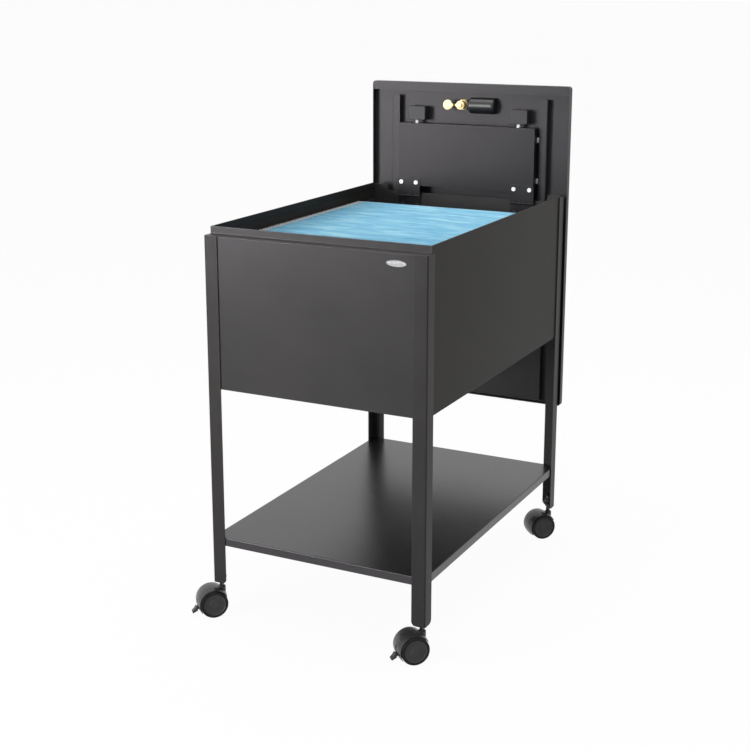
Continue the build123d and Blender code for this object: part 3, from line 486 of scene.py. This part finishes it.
def oval_plate():
    """A pressed blank plate with a raised border and a slightly crowned field."""
    bm = bmesh.new()
    face_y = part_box("front_panel")[0].y
    rings = []
    for share, proud in PLATE_RINGS:
        ring = []
        for i in range(PLATE_POINTS):
            turn = 2 * math.pi * i / PLATE_POINTS
            inset = (1.0 - share) * PLATE_HALF[1]
            x = PLATE_MID[0] + (PLATE_HALF[0] - inset) * math.cos(turn)
            z = PLATE_MID[1] + (PLATE_HALF[1] - inset) * math.sin(turn)
            ring.append(bm.verts.new((x * MM, face_y - proud * MM, z * MM)))
        rings.append(ring)
    for outer, inner in zip(rings, rings[1:]):
        for i in range(PLATE_POINTS):
            j = (i + 1) % PLATE_POINTS
            bm.faces.new((outer[i], outer[j], inner[j], inner[i]))
    bm.faces.new(rings[-1])
    bm.faces.new(list(reversed(rings[0])))
    for face in bm.faces:
        face.smooth = True
    plate = mesh_piece("oval_plate", bm, SILVER)
    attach(plate, "cart_frame")


# Hanging folders; heights are in millimetres, positions run from the front of the tub
FOLDER_COUNT = 26
FOLDER_PITCH = 20.0
FOLDER_FIRST_Y = -280.0
FOLDER_HALF_W = 187.0
FOLDER_FOLD_Z = 446.6
CARD_T = 0.45
HEM_TOP_Z = 680.3
HEM_LOW_Z = 666.0
HEM_MID_Z = 674.0
ROD_OUT = 5.0
ROD_IN = 4.2
SLOT_COLUMNS = 25
SLOT_Z = (656.0, 659.5)
LEAF_STEPS = (0.005, 0.08, 0.22, 0.40, 0.58, 0.77, 0.90)
FOLD_OUT = 0.5
BELLY = 1.2
BELLY_FALL = 0.4
HEM_CARD_SHARE = 0.55
HEM_TUCK = 2.0
HEM_BENDS = 4
LIFT = 0.3
FOLDER_SEED = 7


def leaf_path():
    """Half of a folder's section, from the fold up and over the hanger strip: distance out and height."""
    out = ROD_OUT + HEM_CARD_SHARE * CARD_T
    into = ROD_IN - HEM_CARD_SHARE * CARD_T
    path = []
    tall = HEM_LOW_Z - FOLDER_FOLD_Z
    heights = [FOLDER_FOLD_Z + tall * step for step in LEAF_STEPS] + [*SLOT_Z, HEM_LOW_Z, HEM_MID_Z]
    for z in heights:
        share = min((z - FOLDER_FOLD_Z) / tall, 1.0)
        bow = BELLY * math.sin(math.pi * share) * (1.0 - BELLY_FALL * share)
        path.append((FOLD_OUT + (out - FOLD_OUT) * share + bow, z))
    mid = (out + into) / 2
    radius = (out - into) / 2
    for step in range(HEM_BENDS + 1):
        turn = math.pi * step / HEM_BENDS
        path.append((mid + radius * math.cos(turn), HEM_TOP_Z - radius + radius * math.sin(turn)))
    path.append((into, HEM_LOW_Z + HEM_TUCK))
    return path


def folder_master():
    """One folder at the first place in the row, with its tab slots left open."""
    bm = bmesh.new()
    half = leaf_path()
    section = [(-u, z) for u, z in reversed(half)] + [(0.0, FOLDER_FOLD_Z)] + half
    columns = [-FOLDER_HALF_W + 2 * FOLDER_HALF_W * i / SLOT_COLUMNS for i in range(SLOT_COLUMNS + 1)]
    grid = []
    for u, z in section:
        y = FOLDER_FIRST_Y + u
        grid.append([bm.verts.new((x * MM, y * MM, z * MM)) for x in columns])
    for low, high, edge, next_edge in zip(section, section[1:], grid, grid[1:]):
        slot_row = {round(low[1], 3), round(high[1], 3)} == {round(z, 3) for z in SLOT_Z}
        for i in range(SLOT_COLUMNS):
            if slot_row and i % 2 == 1:
                continue
            bm.faces.new((edge[i], edge[i + 1], next_edge[i + 1], next_edge[i]))
    for face in bm.faces:
        face.smooth = True
    folder = mesh_piece("folder_master", bm, CARD)
    wall = folder.modifiers.new("card", "SOLIDIFY")
    wall.thickness = CARD_T * MM
    wall.offset = 0.0
    return folder


def plain_mesh(piece):
    """Turns a piece's evaluated shape into its own plain mesh and removes the modifiers."""
    evaluated = piece.evaluated_get(bpy.context.evaluated_depsgraph_get())
    mesh = bpy.data.meshes.new_from_object(evaluated)
    piece.modifiers.clear()
    piece.data = mesh
    return piece


def node_group(name, inputs):
    """An empty geometry node tree with a geometry in and out and the named inputs."""
    tree = bpy.data.node_groups.new(name, "GeometryNodeTree")
    tree.interface.new_socket("Geometry", in_out="INPUT", socket_type="NodeSocketGeometry")
    tree.interface.new_socket("Geometry", in_out="OUTPUT", socket_type="NodeSocketGeometry")
    for label, kind in inputs:
        tree.interface.new_socket(label, in_out="INPUT", socket_type="NodeSocket" + kind)
    return tree, node(tree, "NodeGroupInput"), node(tree, "NodeGroupOutput")


def run_tree(piece, tree, values):
    """Runs a geometry node tree on a piece with the values given by input name."""
    modifier = piece.modifiers.new(tree.name, "NODES")
    modifier.node_group = tree
    for item in tree.interface.items_tree:
        if item.in_out == "INPUT" and item.name in values:
            modifier[item.identifier] = values[item.name]
    return plain_mesh(piece)


def folder_row_tree():
    """Copies one folder along the tub, each a little up or down, with a shade of its own."""
    tree, given, result = node_group(
        "folder_row",
        (("Count", "Int"), ("Pitch", "Float"), ("Lift", "Float"), ("Seed", "Int"), ("Card", "Material")),
    )
    take = given.outputs
    step = node(tree, "ShaderNodeCombineXYZ", {"Y": take["Pitch"]})
    line = node(tree, "GeometryNodeMeshLine", {"Count": take["Count"], "Offset": step.outputs["Vector"]})
    hung = node(
        tree,
        "GeometryNodeInstanceOnPoints",
        {"Points": line.outputs["Mesh"], "Instance": take["Geometry"]},
    )
    drop = product(tree, take["Lift"], -1.0)
    rise = node(
        tree,
        "FunctionNodeRandomValue",
        {2: drop, 3: take["Lift"], "Seed": take["Seed"]},
        data_type="FLOAT",
    )
    shift = node(tree, "ShaderNodeCombineXYZ", {"Z": rise.outputs[1]})
    moved = node(
        tree,
        "GeometryNodeTranslateInstances",
        {"Instances": hung.outputs["Instances"], "Translation": shift.outputs["Vector"]},
    )
    shade = node(tree, "FunctionNodeRandomValue", {"Seed": take["Seed"]}, data_type="FLOAT")
    shaded = node(
        tree,
        "GeometryNodeStoreNamedAttribute",
        {"Geometry": moved.outputs["Instances"], "Name": "folder_shade", "Value": shade.outputs[1]},
        data_type="FLOAT",
        domain="INSTANCE",
    )
    real = node(tree, "GeometryNodeRealizeInstances", {"Geometry": shaded.outputs["Geometry"]})
    painted = node(
        tree,
        "GeometryNodeSetMaterial",
        {"Geometry": real.outputs["Geometry"], "Material": take["Card"]},
    )
    tree.links.new(painted.outputs["Geometry"], result.inputs["Geometry"])
    return tree


def hanging_folders():
    """The row of folders in the tub."""
    row = plain_mesh(folder_master())
    row.name = "hanging_folders"
    sizes = {"Count": FOLDER_COUNT, "Pitch": FOLDER_PITCH * MM, "Lift": LIFT * MM}
    run_tree(row, folder_row_tree(), {**sizes, "Seed": FOLDER_SEED, "Card": CARD})
    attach(row, "folders")
    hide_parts("folder_leaves")


# Studio, in metres; a softbox is its name, place, aim, width, beam angle in degrees and watts
FLOOR_SIZE = 240.0
FLOOR_DROP = 0.0004
FLOOR_BOUNCE = 0.45
BACKDROP_SHARE = 0.96
SKY_LIGHT = 0.32
SOFTBOXES = (
    ("front_left_softbox", (-1.7, -2.3, 1.0), (0.0, 0.0, 0.62), 1.2, 180.0, 26.0),
    ("gridded_softbox", (-1.7, -2.3, 1.0), (-0.1, -0.1, 0.78), 1.2, 34.0, 4.0),
    ("top_softbox", (0.0, -0.1, 3.0), (0.0, 0.0, 0.6), 2.0, 180.0, 48.0),
)


def seen_rays(tree):
    """One for camera, glossy and transmission rays, zero for the rays that light things."""
    path = node(tree, "ShaderNodeLightPath")
    first = node(
        tree,
        "ShaderNodeMath",
        {0: path.outputs["Is Camera Ray"], 1: path.outputs["Is Glossy Ray"]},
        operation="MAXIMUM",
    )
    both = node(
        tree,
        "ShaderNodeMath",
        {0: first.outputs["Value"], 1: path.outputs["Is Transmission Ray"]},
        operation="MAXIMUM",
    )
    return both.outputs["Value"]


def studio():
    """Pale floor, white surround and soft lights."""
    bm = bmesh.new()
    bmesh.ops.create_grid(bm, x_segments=1, y_segments=1, size=FLOOR_SIZE / 2)
    bmesh.ops.translate(bm, verts=bm.verts, vec=(0.0, 0.0, -FLOOR_DROP))
    paper = bpy.data.materials.new("studio_paper")
    paper.use_nodes = True
    tree = paper.node_tree
    tree.nodes.clear()
    seen = seen_rays(tree)
    tone = spread(tree, seen, FLOOR_BOUNCE, 1.0, 0.0, 1.0)
    matte = node(tree, "ShaderNodeBsdfDiffuse", {"Color": tone})
    white = node(tree, "ShaderNodeEmission", {"Color": (1.0, 1.0, 1.0, 1.0), "Strength": 1.0})
    share = product(tree, seen, BACKDROP_SHARE)
    mixed = node(
        tree,
        "ShaderNodeMixShader",
        {0: share, 1: matte.outputs["BSDF"], 2: white.outputs["Emission"]},
    )
    node(tree, "ShaderNodeOutputMaterial", {"Surface": mixed.outputs["Shader"]})
    mesh_piece("studio_floor", bm, paper)

    world = bpy.data.worlds.new("white_surround")
    scene.world = world
    world.use_nodes = True
    tree = world.node_tree
    tree.nodes.clear()
    level = spread(tree, seen_rays(tree), SKY_LIGHT, 1.0, 0.0, 1.0)
    sky = node(tree, "ShaderNodeBackground", {"Color": (1.0, 1.0, 1.0, 1.0), "Strength": level})
    node(tree, "ShaderNodeOutputWorld", {"Surface": sky.outputs["Background"]})

    for name, place, aim, size, beam, power in SOFTBOXES:
        data = bpy.data.lights.new(name, "AREA")
        data.size = size
        data.spread = math.radians(beam)
        data.energy = power
        lamp = bpy.data.objects.new(name, data)
        lamp.location = place
        lamp.rotation_euler = (Vector(aim) - Vector(place)).to_track_quat("-Z", "Y").to_euler()
        scene.collection.objects.link(lamp)


def photo_camera():
    """Camera at the photograph's viewing angle."""
    data = bpy.data.cameras.new("photo_camera")
    data.sensor_fit = "HORIZONTAL"
    data.sensor_width = CAMERA_SENSOR
    data.lens = CAMERA_LENS
    data.shift_y = CAMERA_SHIFT
    camera = bpy.data.objects.new("photo_camera", data)
    camera.location = CAMERA_AT
    camera.rotation_euler = (math.radians(90.0 - CAMERA_PITCH), 0.0, math.radians(CAMERA_YAW))
    scene.collection.objects.link(camera)
    scene.camera = camera


dress_cad_nodes()
oval_plate()
hanging_folders()
studio()
photo_camera()
